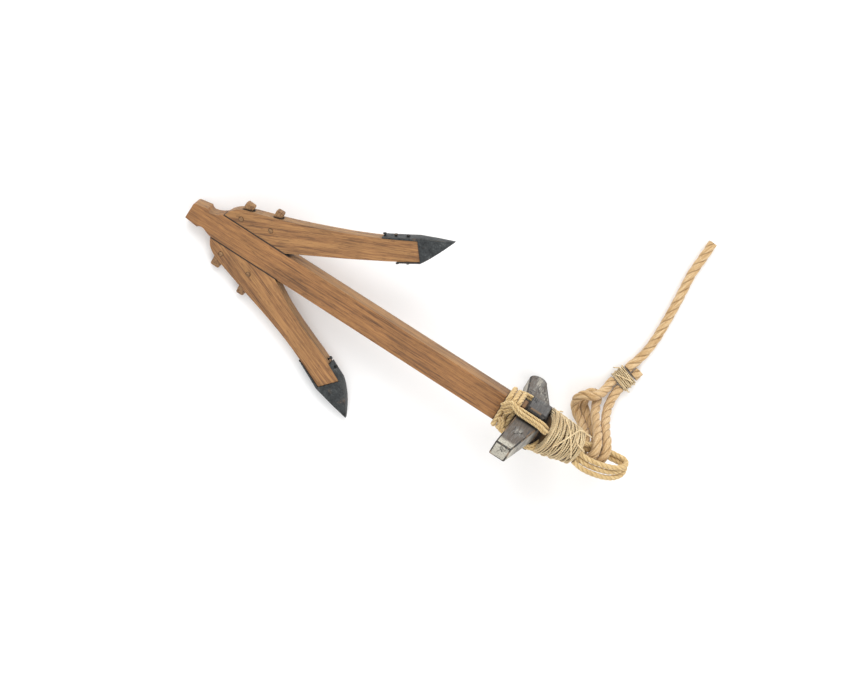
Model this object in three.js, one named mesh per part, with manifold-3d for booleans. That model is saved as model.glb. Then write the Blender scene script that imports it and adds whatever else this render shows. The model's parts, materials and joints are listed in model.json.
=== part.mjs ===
// A two-armed wooden anchor with iron-shod arms, a cast lead stock, a seized rope strop and a short cable.
// It lies on the ground as such an anchor does: on one arm's tip, the crown's corner and one end of its stock.
// Millimetres, +Z up. The origin is on the ground, under the middle of the anchor without its ropes.
import * as THREE from 'three';
import { mergeVertices } from 'three/addons/utils/BufferGeometryUtils.js';
import Module from 'manifold-3d';

const wasm = await Module();
wasm.setup();

// ---- driving dimensions -------------------------------------------------------------------------
// Anchor frame: x along the shank from the crown end, y across it in the plane of the arms, z square to both.
const GAP = 0.3;
const SHANK_DEPTH = 16;
// The arms are thinner than the shank and flush with its upper side face.
const ARM = { depth: 12, middle: 2 };
const SHANK = { length: 412, shoulder: 33, shoulderHalf: 14.3, ringHalf: 15.2 };
const HEAD = { length: 15, lowerHalf: 12.8, upperHalf: 10.6, neckHalf: 8.6, neckX: 20.5 };
// The keys cross the crown square to the shank, each leaning a little: `lean` is in degrees.
const KEYS = [
  { name: 'crown_key_1', x: 50.3, lean: -2.3, width: 9.8, depth: 6.4, low: -41.2, high: 39.6 },
  { name: 'crown_key_2', x: 83, lean: 2, width: 8.2, depth: 6.4, low: -52.6, high: 50.2 },
];
const KEY_CHAMFER = 1.1;
const PIN = { radius: 2.4, proud: 0.4 };
const PINS = [
  { name: 'lock_pin_upper_1', x: 50.6, y: 21.2 },
  { name: 'lock_pin_upper_2', x: 82, y: 27.9 },
  { name: 'lock_pin_lower_1', x: 49.4, y: -24.2 },
  { name: 'lock_pin_lower_2', x: 83.6, y: -26.9 },
];
// Each arm: its outer edge from the crown to the shoe, and its inner edge from the shoe back to the shank.
const ARMS = {
  upper: {
    side: 1,
    outer: [[33.6, 15], [36.4, 20.8], [41.2, 26.4], [48, 30.9], [60, 35], [98, 48.8], [148, 70.2], [182, 87.2], [213.4, 105]],
    inner: [[226, 87.6], [202, 71.8], [161, 47], [118, 22.4], [105, 15]],
    outerStrapFrom: 177,
    innerStrapFrom: 200,
    tip: [245.4, 124],
    bill: [235, 98.6],
  },
  lower: {
    side: -1,
    outer: [[31.8, 15], [35, 21.6], [40.2, 26.8], [47, 30.7], [60, 35.6], [91, 46.3], [126, 57.8], [160, 71.3], [201.8, 92]],
    inner: [[217, 73.4], [192, 59.6], [171, 50.2], [140, 35.2], [120, 22.6], [109, 15]],
    outerStrapFrom: 168,
    innerStrapFrom: 191,
    tip: [241.6, 107.4],
    bill: [231.5, 83.6],
  },
};
const SHOE = { depth: 13.2, strapRoot: 1.2, strapEnd: 2.6, innerStrap: 1.5, tipDepth: 3.4, waist: 0.55, waistDepth: 9.8 };
const NAIL = { shaft: 0.9, length: 7, head: 2, headHeight: 1.1, clearance: 0.25 };
const STOCK = {
  rootLow: 387, farRootLow: 386, rootHigh: 413.4, nearLow: 383.2, nearHigh: 400.6, farLow: 377, farHigh: 396.6,
  boxLow: 391, boxHeight: 22, boxDepth: 13.8, rootDepth: 12, halfLength: 85, rootHeight: 11, endHeight: 8,
};
// The strop: turns round the shank below the stock, legs past the stock, and three bights that make the eye.
const STROP = { cord: 5.6, sides: 8, turnWidth: 5.2, turns: [371.6, 377.1, 382.6], turnClearance: 0.5 };
const SEIZING = {
  from: [200.5, -5.4, 86], to: [244.1, -2.3, 74], start: 24.2, endWide: 18.4, endHigh: 17, stockFace: 414.1,
};
const CABLE = { diameter: 10, sides: 10 };
const BAND = { from: [258.9, 76.6, 6.5], to: [263.7, 90.4, 6.5], halfWide: 11.6, halfHigh: 6.2 };

// Routes of the cords, in millimetres. Those of the legs are in the anchor's frame, along its shank.
const STROP_LEGS = {
  near: [[374.6, 3.2, 17.1], [378.5, 8.4, 17.3], [380.2, 13.8, 17.6], [386.6, 15, 17.6], [396, 15, 17.5],
    [406, 14.9, 17.5], [413, 14.8, 17.5], [417.2, 12.2, 14.6], [421, 7, 7]],
  far: [[369.5, 8, 17.1], [373.4, 13.4, 18.8], [377, 18.6, 22], [382, 18, 24.2], [387, 15.6, 24.4],
    [396, 15, 24.2], [406, 14.9, 24.1], [412.8, 14.4, 24], [417, 12, 21.8], [421, 10, 18.4]],
};
// Each leg follows one of those routes, mirrored across the shank (y) and to its upper or lower side (z).
const LEGS = [
  { name: 'strop_leg_top_1', route: 'near', y: 1, z: 1 },
  { name: 'strop_leg_top_2', route: 'far', y: 1, z: 1 },
  { name: 'strop_leg_top_3', route: 'near', y: -1, z: 1 },
  { name: 'strop_leg_under_1', route: 'near', y: 1, z: -1 },
  { name: 'strop_leg_under_2', route: 'near', y: -1, z: -1 },
  { name: 'strop_leg_under_3', route: 'far', y: -1, z: -1 },
];
const EYE_BIGHTS = [
  [[247.1, -4.8, 78.5], [250.7, -5.2, 78.7], [260, -5.8, 79], [272.1, -4, 77.3], [283.7, -0.9, 74.2],
    [292, 2.6, 70.8], [297.4, 6.5, 66.7], [299.7, 10.3, 62], [298.9, 12.7, 58], [295.1, 13.8, 55.9],
    [288.8, 13.1, 55.2], [281.1, 12.3, 56.4], [271.6, 10.8, 59.5], [261.1, 8.5, 63.2],
    [253.5, 6, 66.9], [245.8, 3, 70.2]],
  [[246.8, -10, 75.6], [250.5, -10.6, 76], [260, -11.4, 76.9], [272, -9.8, 75.6], [284.6, -6.4, 72],
    [292.6, -2.6, 67.8], [297.6, 1.9, 62.8], [298.9, 6.2, 57.5], [295.6, 8.2, 53.8],
    [288.8, 7.6, 52.8], [281.3, 6.8, 53.9], [271.8, 5.4, 56.9], [261.3, 3.1, 60.6], [253.6, 0.6, 64.2],
    [244.4, -3.2, 68.6]],
  [[248.6, -15.3, 79.3], [251.9, -16.1, 79.1], [260, -17.1, 78.6], [272.2, -15.8, 76.4],
    [285.6, -12.4, 71.9], [295.6, -7.5, 66], [301.6, -1.5, 59.4], [303.2, 4.7, 53.5],
    [300.7, 9.7, 50.4], [296, 12.2, 49], [286.9, 12.3, 49.4], [279.2, 11.4, 50.6], [269.6, 10, 53.7],
    [259.1, 7.8, 57.6], [251.5, 5.2, 61.1], [243.6, 2.2, 64.9]],
];
// The cable's bend: from the band up one leg, round the eye's lower side, down under the first leg and up
// again, round the eye once more and back to the band.
const BEND = [
  [253.2, 76.5, 5.4], [251.9, 71, 7.4], [250.4, 64.9, 12], [246.8, 57.1, 20], [240.5, 50.6, 26.5], [232.8, 47.3, 26],
  [229.4, 42.3, 22], [230.3, 36.2, 16], [236.2, 28.7, 14], [245.2, 22, 22], [251.4, 15.6, 36], [254, 9, 47],
  [255.3, 2.8, 50.4], [257.6, -2.8, 53.2], [261.6, -5.6, 61.1], [264, -1.5, 69], [263.5, 7.2, 72.2],
  [260.2, 15.8, 68.2], [258.3, 21.4, 59], [255.6, 27.6, 46], [251.6, 36, 31], [249.4, 45, 18.6],
  [247.4, 53, 10.6], [241.6, 54.4, 6.4], [237.8, 47, 6.2], [240.4, 38.6, 8.6], [247.4, 31.6, 15], [255, 25.4, 28],
  [260.6, 18.8, 41], [263.6, 14, 45.4], [265.4, 7.6, 45.9], [268.6, -0.4, 49.1], [272.5, -3.2, 57], [274.8, 1, 65],
  [274.4, 9.6, 68.2], [271, 18.2, 64.1], [267, 25.9, 52], [263.6, 36.6, 34], [261.4, 49.3, 18.4],
  [261.7, 63.6, 9], [263.3, 73.1, 5.6],
];
const BEND_STEPS = 76;
const TAIL = [[269.2, 90.1, 5.4], [270.4, 94, 5.3], [271.6, 98.6, 5.2]];
const CABLE_ROUTE = [
  [259.2, 93.6, 5.4], [260.6, 98.6, 5.2], [262.8, 105, 5.1], [266, 118, 5.1], [267.4, 135, 5.1], [267, 152, 5.1],
  [266, 170, 5.1], [264.2, 191, 5.1], [262.4, 208.6, 5.1], [262.5, 221.4, 5.1], [263.1, 234.4, 5.1],
  [263.5, 250.4, 5.1],
];
const CABLE_STEPS = 10;

// ---- solids -------------------------------------------------------------------------------------
function toManifold(geometry) {
  const plain = geometry.clone();
  for (const name of ['normal', 'uv']) plain.deleteAttribute(name);
  const merged = mergeVertices(plain, 1e-4);
  const mesh = new wasm.Mesh({
    numProp: 3,
    vertProperties: new Float32Array(merged.attributes.position.array),
    triVerts: new Uint32Array(merged.index.array),
  });
  return new wasm.Manifold(mesh);
}

function toGeometry(solid) {
  const mesh = solid.getMesh();
  const geometry = new THREE.BufferGeometry();
  geometry.setAttribute('position', new THREE.BufferAttribute(new Float32Array(mesh.vertProperties), 3));
  geometry.setIndex(new THREE.BufferAttribute(new Uint32Array(mesh.triVerts), 1));
  geometry.computeVertexNormals();
  return geometry;
}

const join = (...geometries) => geometries.map(toManifold).reduce((sum, next) => sum.add(next));
const cut = (body, tools) => tools.map(toManifold).reduce((rest, tool) => rest.subtract(tool), body);

function finish(colour, roughness, metalness = 0) {
  return new THREE.MeshStandardMaterial({ color: colour, roughness, metalness });
}

const OAK = finish(0xa8723f, 0.62);
const KEY_OAK = finish(0x9a6a3c, 0.66);
const IRON = finish(0x3d3b3a, 0.7, 0.6);
const LEAD = finish(0x66635e, 0.68, 0.5);
const STRAW_CORD = finish(0xd9c08a, 0.85);
const TWINE = finish(0xbfae86, 0.88);
const CABLE_ROPE = finish(0xc8924e, 0.85);

function piece(name, geometry, material) {
  const mesh = new THREE.Mesh(geometry, material);
  mesh.name = name;
  return mesh;
}

function block(xLow, xHigh, yLow, yHigh, zLow, zHigh) {
  const box = new THREE.BoxGeometry(xHigh - xLow, yHigh - yLow, zHigh - zLow);
  return box.translate((xLow + xHigh) / 2, (yLow + yHigh) / 2, (zLow + zHigh) / 2);
}

// A plank: an outline in the arms' plane, given its thickness evenly on both sides of the height `middle`.
function plank(shape, thickness, middle = 0) {
  const geometry = new THREE.ExtrudeGeometry(shape, { depth: thickness, bevelEnabled: false, curveSegments: 4 });
  return geometry.translate(0, 0, middle - thickness / 2);
}

function shapeOf(points) {
  return new THREE.Shape(points.map(([x, y]) => new THREE.Vector2(x, y)));
}

// ---- crown timbers ------------------------------------------------------------------------------
function shankHalfWidth(x) {
  const along = (x - SHANK.shoulder) / (SHANK.length - SHANK.shoulder);
  return THREE.MathUtils.lerp(SHANK.shoulderHalf, SHANK.ringHalf, along);
}

function leanKey(geometry, key) {
  return geometry.rotateZ(THREE.MathUtils.degToRad(key.lean)).translate(key.x, 0, ARM.middle);
}

function keySlot(key) {
  const slot = new THREE.BoxGeometry(key.width + 2 * GAP, key.high - key.low + 20, key.depth + 2 * GAP);
  return leanKey(slot.translate(0, (key.high + key.low) / 2, 0), key);
}

function pinRod(pin, radius, length) {
  const rod = new THREE.CylinderGeometry(radius, radius, length, 12);
  return rod.rotateX(Math.PI / 2).translate(pin.x, pin.y, ARM.middle);
}

function makeShank() {
  const shape = new THREE.Shape();
  const { shoulder, length, shoulderHalf, ringHalf } = SHANK;
  shape.moveTo(0, -HEAD.lowerHalf + 1.8);
  shape.lineTo(HEAD.length - 0.5, -HEAD.lowerHalf);
  shape.quadraticCurveTo(HEAD.neckX - 2, -HEAD.neckHalf, HEAD.neckX + 3, -HEAD.neckHalf - 2.6);
  shape.quadraticCurveTo(HEAD.neckX + 7, -shoulderHalf + 0.8, shoulder, -shoulderHalf);
  shape.lineTo(length, -ringHalf);
  shape.lineTo(length, ringHalf);
  shape.lineTo(shoulder, shoulderHalf);
  shape.quadraticCurveTo(HEAD.neckX + 7, HEAD.neckHalf + 0.4, HEAD.neckX, HEAD.neckHalf - 0.6);
  shape.quadraticCurveTo(HEAD.length + 3, HEAD.neckHalf - 0.4, HEAD.length + 1, HEAD.upperHalf);
  shape.lineTo(3.4, HEAD.upperHalf - 2.4);
  shape.quadraticCurveTo(1.2, HEAD.upperHalf - 3, 1, HEAD.upperHalf - 5);
  return toGeometry(cut(toManifold(plank(shape, SHANK_DEPTH)), KEYS.map(keySlot)));
}

// The edges of an arm as drawn lines in the anchor frame, running away from the crown on the outside and
// back towards it on the inside, with the flat that lies against the shank left between their ends.
function armEdges(arm) {
  const curve = (points) => new THREE.SplineCurve(points.map(([x, y]) => new THREE.Vector2(x, y * arm.side)));
  const seat = ([x]) => [x, shankHalfWidth(x) + GAP];
  const outer = [seat(arm.outer[0]), ...arm.outer.slice(1)];
  const inner = [...arm.inner.slice(0, -1), seat(arm.inner.at(-1))];
  return { outer: curve(outer).getPoints(24), inner: curve(inner).getPoints(14) };
}

function nailSpots(arm) {
  const { outer, inner } = armEdges(arm);
  const spotsOn = (line, from, steps) => steps.map((step) => {
    const x = from + step;
    const next = line.findIndex((point, index) => index > 0 && (line[index - 1].x - x) * (point.x - x) <= 0);
    const [a, b] = [line[next - 1], line[next]];
    const at = a.clone().lerp(b, (x - a.x) / (b.x - a.x));
    const run = b.clone().sub(a).normalize();
    const out = new THREE.Vector2(run.y, -run.x).multiplyScalar(-arm.side);
    return { at, out };
  });
  return [
    ...spotsOn(outer, arm.outerStrapFrom, [6, 16, 27]),
    ...spotsOn(inner, arm.innerStrapFrom, [5, 14]),
  ];
}

// A nail driven square to the arm's edge: `lift` is how far its head sits above the timber.
function nailAt({ at, out }, lift, grow) {
  const shaft = new THREE.CylinderGeometry(NAIL.shaft + grow, NAIL.shaft + grow, NAIL.length + lift + grow, 8);
  shaft.translate(0, (lift - NAIL.length - grow) / 2, 0);
  const turn = Math.atan2(out.y, out.x) - Math.PI / 2;
  return shaft.rotateZ(turn).translate(at.x, at.y, ARM.middle);
}

function nailHead({ at, out }, lift) {
  const head = new THREE.CylinderGeometry(NAIL.head * 0.8, NAIL.head, NAIL.headHeight, 8);
  head.translate(0, lift + NAIL.headHeight / 2 - 0.05, 0);
  const turn = Math.atan2(out.y, out.x) - Math.PI / 2;
  return head.rotateZ(turn).translate(at.x, at.y, ARM.middle);
}

const NAIL_LIFT = GAP + SHOE.strapEnd + GAP;

function makeArm(arm) {
  const { outer, inner } = armEdges(arm);
  const body = toManifold(plank(new THREE.Shape([...outer, ...inner]), ARM.depth, ARM.middle));
  const slots = KEYS.map(keySlot);
  const pinHoles = PINS.filter((pin) => pin.y * arm.side > 0)
    .map((pin) => pinRod(pin, PIN.radius + GAP, ARM.depth + 4));
  const nailHoles = nailSpots(arm).map((spot) => nailAt(spot, 3, NAIL.clearance));
  return toGeometry(cut(body, [...slots, ...pinHoles, ...nailHoles]));
}

function makeKey(key) {
  const c = KEY_CHAMFER;
  const half = key.width / 2;
  const bar = plank(shapeOf([
    [-half, key.low + c], [-half + c, key.low], [half - c, key.low], [half, key.low + c],
    [half, key.high - c], [half - c, key.high], [-half + c, key.high], [-half, key.high - c],
  ]), key.depth);
  const holes = PINS.filter((pin) => Math.abs(pin.x - key.x) < key.width)
    .map((pin) => pinRod(pin, PIN.radius + GAP, ARM.depth));
  return toGeometry(cut(toManifold(leanKey(bar, key)), holes));
}

// ---- iron shoes ---------------------------------------------------------------------------------
// A line moved sideways by a distance that runs evenly from `start` to `end` along it.
function offsetLine(line, start, end) {
  return line.map((point, index) => {
    const before = line[Math.max(index - 1, 0)];
    const after = line[Math.min(index + 1, line.length - 1)];
    const run = after.clone().sub(before).normalize();
    const distance = THREE.MathUtils.lerp(start, end, index / (line.length - 1));
    return point.clone().add(new THREE.Vector2(run.y, -run.x).multiplyScalar(distance));
  });
}

function makeShoe(arm) {
  const out = -arm.side;
  const edges = armEdges(arm);
  const outer = edges.outer.filter((point) => point.x > arm.outerStrapFrom);
  const inner = edges.inner.filter((point) => point.x > arm.innerStrapFrom);
  const baseOut = outer.at(-1);
  const baseIn = inner[0];
  const baseRun = baseIn.clone().sub(baseOut).normalize();
  const ahead = new THREE.Vector2(-baseRun.y, baseRun.x).multiplyScalar(arm.side);
  const tip = new THREE.Vector2(arm.tip[0], arm.tip[1] * arm.side);
  const bill = new THREE.Vector2(arm.bill[0], arm.bill[1] * arm.side);
  const socket = [...offsetLine(outer, out * GAP, out * GAP), ...offsetLine(inner, out * GAP, out * GAP)];
  const past = (point) => point.clone().addScaledVector(ahead, GAP);
  const socketLine = socket.map((point) => (point.distanceTo(baseOut) < 1 || point.distanceTo(baseIn) < 1
    ? past(point) : point));
  const outside = offsetLine(outer, out * (GAP + SHOE.strapRoot), out * (GAP + SHOE.strapEnd));
  const insideStrap = offsetLine(inner, out * (GAP + SHOE.innerStrap), out * (GAP + SHOE.innerStrap * 0.8));
  const curve = new THREE.QuadraticBezierCurve(insideStrap[0], bill, tip).getPoints(8);
  const outline = [...outside, ...curve.reverse(), ...insideStrap.slice(1), ...socketLine.reverse()];
  const body = toManifold(plank(new THREE.Shape(outline), SHOE.depth, ARM.middle));
  // The facets on the two faces: a wedge across the shoe, thinnest at the tip.
  const middle = baseOut.clone().add(baseIn).multiplyScalar(0.5);
  const axis = tip.clone().sub(middle);
  const reach = axis.length();
  const [full, waist, end] = [SHOE.depth / 2 + 0.2, SHOE.waistDepth / 2, SHOE.tipDepth / 2];
  const wedge = new THREE.ExtrudeGeometry(shapeOf([
    [-90, -full], [0, -full], [reach * SHOE.waist, -waist], [reach + 2, -end],
    [reach + 2, end], [reach * SHOE.waist, waist], [0, full], [-90, full],
  ]), { depth: 120, bevelEnabled: false });
  wedge.translate(0, 0, -60).rotateX(Math.PI / 2).rotateZ(Math.atan2(axis.y, axis.x));
  wedge.translate(middle.x, middle.y, ARM.middle);
  const faceted = body.intersect(toManifold(wedge));
  return toGeometry(cut(faceted, nailSpots(arm).map((spot) => nailAt(spot, NAIL_LIFT + 2, NAIL.clearance))));
}

function makeNail(spot) {
  return toGeometry(join(nailAt(spot, NAIL_LIFT, 0), nailHead(spot, NAIL_LIFT)));
}

// ---- stock --------------------------------------------------------------------------------------
function makeStock() {
  const s = STOCK;
  const plan = new THREE.Shape();
  plan.moveTo(s.nearLow, s.halfLength);
  plan.lineTo(s.rootLow, s.rootDepth);
  plan.lineTo(s.farRootLow, -s.rootDepth);
  plan.lineTo(s.farLow, -s.halfLength + 12);
  plan.quadraticCurveTo(s.farLow + 2, -s.halfLength + 1, (s.farLow + s.farHigh) / 2 + 2, -s.halfLength);
  plan.quadraticCurveTo(s.farHigh - 1, -s.halfLength + 2, s.farHigh, -s.halfLength + 10);
  plan.lineTo(s.rootHigh - 2, -s.rootDepth - 20);
  plan.lineTo(s.rootHigh, -s.rootDepth);
  plan.lineTo(s.rootHigh, s.rootDepth);
  plan.lineTo(s.nearHigh, s.halfLength);
  const flat = new THREE.ExtrudeGeometry(plan, { depth: 2 * s.rootHeight, bevelEnabled: false, curveSegments: 4 });
  flat.translate(0, 0, -s.rootHeight).rotateX(Math.PI / 2);
  const side = new THREE.ExtrudeGeometry(shapeOf([
    [-s.halfLength - 1, -s.endHeight], [-s.rootDepth, -s.rootHeight - 0.2], [s.rootDepth, -s.rootHeight - 0.2],
    [s.halfLength + 1, -s.endHeight], [s.halfLength + 1, s.endHeight], [s.rootDepth, s.rootHeight + 0.2],
    [-s.rootDepth, s.rootHeight + 0.2], [-s.halfLength - 1, s.endHeight],
  ]), { depth: 80, bevelEnabled: false });
  side.rotateY(-Math.PI / 2).translate(440, 0, 0);
  const arms = toManifold(flat).intersect(toManifold(side));
  const box = toManifold(block(s.boxLow, s.rootHigh, -s.boxHeight, s.boxHeight, -s.boxDepth, s.boxDepth));
  const halfWidth = SHANK.ringHalf + GAP;
  const shankHole = block(s.rootLow - 20, s.rootHigh + 20, -halfWidth, halfWidth, -SHANK_DEPTH / 2 - GAP, SHANK_DEPTH / 2 + GAP);
  return toGeometry(cut(arms.add(box), [shankHole]));
}

// ---- ropes --------------------------------------------------------------------------------------
const vector = ([x, y, z]) => new THREE.Vector3(x, y, z);

// A closed tube of even thickness along a smooth curve.
function tube(curve, diameter, sides, steps) {
  const circle = Array.from({ length: sides }, (_, index) => {
    const angle = (2 * Math.PI * (index + 0.5)) / sides;
    return new THREE.Vector2(Math.cos(angle), Math.sin(angle)).multiplyScalar(diameter / 2);
  });
  return new THREE.ExtrudeGeometry(new THREE.Shape(circle), { steps, bevelEnabled: false, extrudePath: curve });
}

function ropeAlong(points, diameter, sides, steps) {
  return tube(new THREE.CatmullRomCurve3(points.map(vector), false, 'centripetal'), diameter, sides, steps);
}

function makeCollarTurn(x) {
  const loop = (grow) => {
    const halfY = SHANK.ringHalf + STROP.turnClearance + grow;
    const halfZ = SHANK_DEPTH / 2 + STROP.turnClearance + grow;
    const corner = 1 + grow;
    const outline = new THREE.Shape();
    outline.moveTo(-halfZ + corner, -halfY);
    outline.lineTo(halfZ - corner, -halfY);
    outline.quadraticCurveTo(halfZ, -halfY, halfZ, -halfY + corner);
    outline.lineTo(halfZ, halfY - corner);
    outline.quadraticCurveTo(halfZ, halfY, halfZ - corner, halfY);
    outline.lineTo(-halfZ + corner, halfY);
    outline.quadraticCurveTo(-halfZ, halfY, -halfZ, halfY - corner);
    outline.lineTo(-halfZ, -halfY + corner);
    outline.quadraticCurveTo(-halfZ, -halfY, -halfZ + corner, -halfY);
    return outline;
  };
  const ring = loop(STROP.cord);
  ring.holes.push(new THREE.Path(loop(0).getPoints(4)));
  const geometry = new THREE.ExtrudeGeometry(ring, { depth: STROP.turnWidth, bevelEnabled: false, curveSegments: 4 });
  return geometry.translate(0, 0, -STROP.turnWidth / 2).rotateY(Math.PI / 2).translate(x, 0, 0);
}

// A bound bundle: a bar of oval section between two points, wider and higher at its start.
function boundBar(from, to, start, end) {
  const axis = vector(to).sub(vector(from));
  const length = axis.length();
  const bulge = [0, 0.12, 0.5, 0.88, 1];
  const profile = bulge.map((part) => new THREE.Vector2(1 - 0.4 * (part - 0.5) ** 4, part * length));
  const outline = [new THREE.Vector2(0, 0), ...profile, new THREE.Vector2(0, length)];
  const bar = new THREE.LatheGeometry(outline, 20);
  const position = bar.attributes.position;
  for (let index = 0; index < position.count; index += 1) {
    const part = position.getY(index) / length;
    position.setX(index, position.getX(index) * THREE.MathUtils.lerp(start.wide, end.wide, part));
    position.setZ(index, position.getZ(index) * THREE.MathUtils.lerp(start.high, end.high, part));
  }
  const along = axis.normalize();
  const across = new THREE.Vector3(0, 0, 1).cross(along).normalize();
  const up = new THREE.Vector3().crossVectors(along, across);
  const place = new THREE.Matrix4().makeBasis(across, along, up.negate());
  return bar.applyMatrix4(place).translate(...from);
}

function seizingBar(grow) {
  const start = { wide: SEIZING.start + grow, high: SEIZING.start + grow };
  const end = { wide: SEIZING.endWide + grow, high: SEIZING.endHigh + grow };
  const from = vector(SEIZING.from);
  const to = vector(SEIZING.to);
  const past = to.clone().sub(from).setLength(grow);
  return boundBar(from.sub(past).toArray(), to.add(past).toArray(), start, end);
}

function makeBend() {
  const curve = new THREE.CatmullRomCurve3(BEND.map(vector), false, 'centripetal');
  const places = curve.getSpacedPoints(BEND_STEPS);
  const stretches = [[0, 18], [18, 36], [36, 54], [54, BEND_STEPS]];
  const tubes = stretches.map(([first, last]) => {
    const points = places.slice(first, Math.min(last + 2, places.length));
    const part = new THREE.CatmullRomCurve3(points, false, 'centripetal');
    return tube(part, CABLE.diameter, CABLE.sides, points.length - 1);
  });
  return toGeometry(join(...tubes));
}

// ---- assembly -----------------------------------------------------------------------------------
const anchor = new THREE.Group();
anchor.add(piece('shank', makeShank(), OAK));
anchor.add(piece('arm_upper', makeArm(ARMS.upper), OAK));
anchor.add(piece('arm_lower', makeArm(ARMS.lower), OAK));
for (const key of KEYS) anchor.add(piece(key.name, makeKey(key), KEY_OAK));
for (const pin of PINS) anchor.add(piece(pin.name, pinRod(pin, PIN.radius, ARM.depth + 2 * PIN.proud), KEY_OAK));
anchor.add(piece('shoe_upper', makeShoe(ARMS.upper), IRON));
anchor.add(piece('shoe_lower', makeShoe(ARMS.lower), IRON));
for (const [name, arm] of Object.entries(ARMS)) {
  nailSpots(arm).forEach((spot, index) => anchor.add(piece(`shoe_nail_${name}_${index + 1}`, makeNail(spot), IRON)));
}
anchor.add(piece('stock', makeStock(), LEAD));

// ---- how it lies --------------------------------------------------------------------------------
// The lowest point of a mesh, in the anchor frame, when `up` points away from the ground.
function lowestPoint(name, up) {
  const position = anchor.getObjectByName(name).geometry.attributes.position;
  const point = new THREE.Vector3();
  const lowest = new THREE.Vector3();
  let least = Infinity;
  for (let index = 0; index < position.count; index += 1) {
    point.fromBufferAttribute(position, index);
    const height = point.dot(up);
    if (height < least) {
      least = height;
      lowest.copy(point);
    }
  }
  return lowest;
}

// Turns the anchor so that these three pieces touch the ground and the shank points along +X seen from above.
function layOnGround(names) {
  const up = new THREE.Vector3(0.15, 0.48, 0.86).normalize();
  for (let round = 0; round < 6; round += 1) {
    const [a, b, c] = names.map((name) => lowestPoint(name, up));
    up.crossVectors(b.sub(a), c.sub(a)).normalize();
  }
  const ahead = new THREE.Vector3(1, 0, 0).addScaledVector(up, -up.x).normalize();
  const across = new THREE.Vector3().crossVectors(up, ahead);
  const turn = new THREE.Matrix4().makeBasis(ahead, across, up).transpose();
  anchor.quaternion.setFromRotationMatrix(turn);
  const box = new THREE.Box3().setFromObject(anchor, true);
  anchor.position.set(-(box.min.x + box.max.x) / 2, -(box.min.y + box.max.y) / 2, -box.min.z);
}

layOnGround(['shank', 'shoe_lower', 'stock']);

// ---- ropes on the anchor as it lies -------------------------------------------------------------
anchor.updateMatrixWorld(true);
const toAnchor = anchor.matrixWorld.clone().invert();
const stockBlock = block(300, SEIZING.stockFace, -60, 60, -60, 60);
const seizing = cut(toManifold(seizingBar(0).applyMatrix4(toAnchor)), [stockBlock]);
anchor.add(piece('strop_seizing', toGeometry(seizing), TWINE));
STROP.turns.forEach((x, index) => anchor.add(piece(`strop_turn_${index + 1}`, makeCollarTurn(x), STRAW_CORD)));
const seizingClearance = seizingBar(GAP).applyMatrix4(toAnchor);
for (const leg of LEGS) {
  const points = STROP_LEGS[leg.route].map(([x, y, z]) => [x, y * leg.y, z * leg.z]);
  const solid = toManifold(ropeAlong(points, STROP.cord, STROP.sides, 12));
  anchor.add(piece(leg.name, toGeometry(cut(solid, [seizingClearance])), STRAW_CORD));
}

const object = new THREE.Group();
object.add(anchor);
EYE_BIGHTS.forEach((route, index) => {
  object.add(piece(`strop_eye_${index + 1}`, ropeAlong(route, STROP.cord, STROP.sides, 24), STRAW_CORD));
});
object.add(piece('cable_bend', makeBend(), CABLE_ROPE));
const bandSize = { wide: BAND.halfWide, high: BAND.halfHigh };
object.add(piece('cable_band', boundBar(BAND.from, BAND.to, bandSize, bandSize), TWINE));
object.add(piece('cable_tail', ropeAlong(TAIL, CABLE.diameter, CABLE.sides, 2), CABLE_ROPE));
object.add(piece('cable', ropeAlong(CABLE_ROUTE, CABLE.diameter, CABLE.sides, CABLE_STEPS), CABLE_ROPE));
export default object;
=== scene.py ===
"""Studio scene of a wooden anchor with iron-shod arms, a cast lead stock, a rope strop and a short cable.

Metres, +Z up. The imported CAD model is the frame: every piece lies where its CAD node lies.
"""

import json  # noqa: E402
import logging  # noqa: E402
import math  # noqa: E402
from dataclasses import dataclass, field  # noqa: E402
from enum import Enum  # noqa: E402

import bmesh  # noqa: E402
import bpy  # noqa: E402
from mathutils import Matrix, Vector, noise  # noqa: E402


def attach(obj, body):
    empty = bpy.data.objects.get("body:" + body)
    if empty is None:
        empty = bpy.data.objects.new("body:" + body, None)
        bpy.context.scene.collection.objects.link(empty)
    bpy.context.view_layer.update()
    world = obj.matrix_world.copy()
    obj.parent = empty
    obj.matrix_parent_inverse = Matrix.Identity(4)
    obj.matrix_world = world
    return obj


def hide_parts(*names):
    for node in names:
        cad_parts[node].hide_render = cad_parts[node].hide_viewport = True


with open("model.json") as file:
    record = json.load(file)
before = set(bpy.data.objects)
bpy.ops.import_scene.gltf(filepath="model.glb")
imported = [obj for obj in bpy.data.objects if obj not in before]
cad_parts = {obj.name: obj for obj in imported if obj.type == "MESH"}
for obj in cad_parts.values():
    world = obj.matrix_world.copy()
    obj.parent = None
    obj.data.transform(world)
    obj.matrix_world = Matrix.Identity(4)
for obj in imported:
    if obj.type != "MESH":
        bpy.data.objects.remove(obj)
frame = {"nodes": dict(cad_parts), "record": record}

LOG = logging.getLogger("anchor")
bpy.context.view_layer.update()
MM = 0.001

Point = tuple[float, float, float]
Strays = tuple[tuple[tuple[Point, ...], float], ...]
Axes = tuple[Vector, Vector, Vector]
Piece = bpy.types.Object
Mesh = bmesh.types.BMesh

SIDES = ("upper", "lower")
CROWN_MOUNT_MM = (0.5, -2.7)  # where the crown's mount lies, along and across
CURVE_STEPS = 16  # points on the curve between two points of a rope's route
SWELL_RUN = 0.008  # metres of rope that widen towards a swollen end
ANY_NORMAL = Vector((0.31, 0.17, 0.93))


class Body(Enum):
    """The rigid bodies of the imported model."""

    ANCHOR = "anchor"
    CABLE = "cable"


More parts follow.
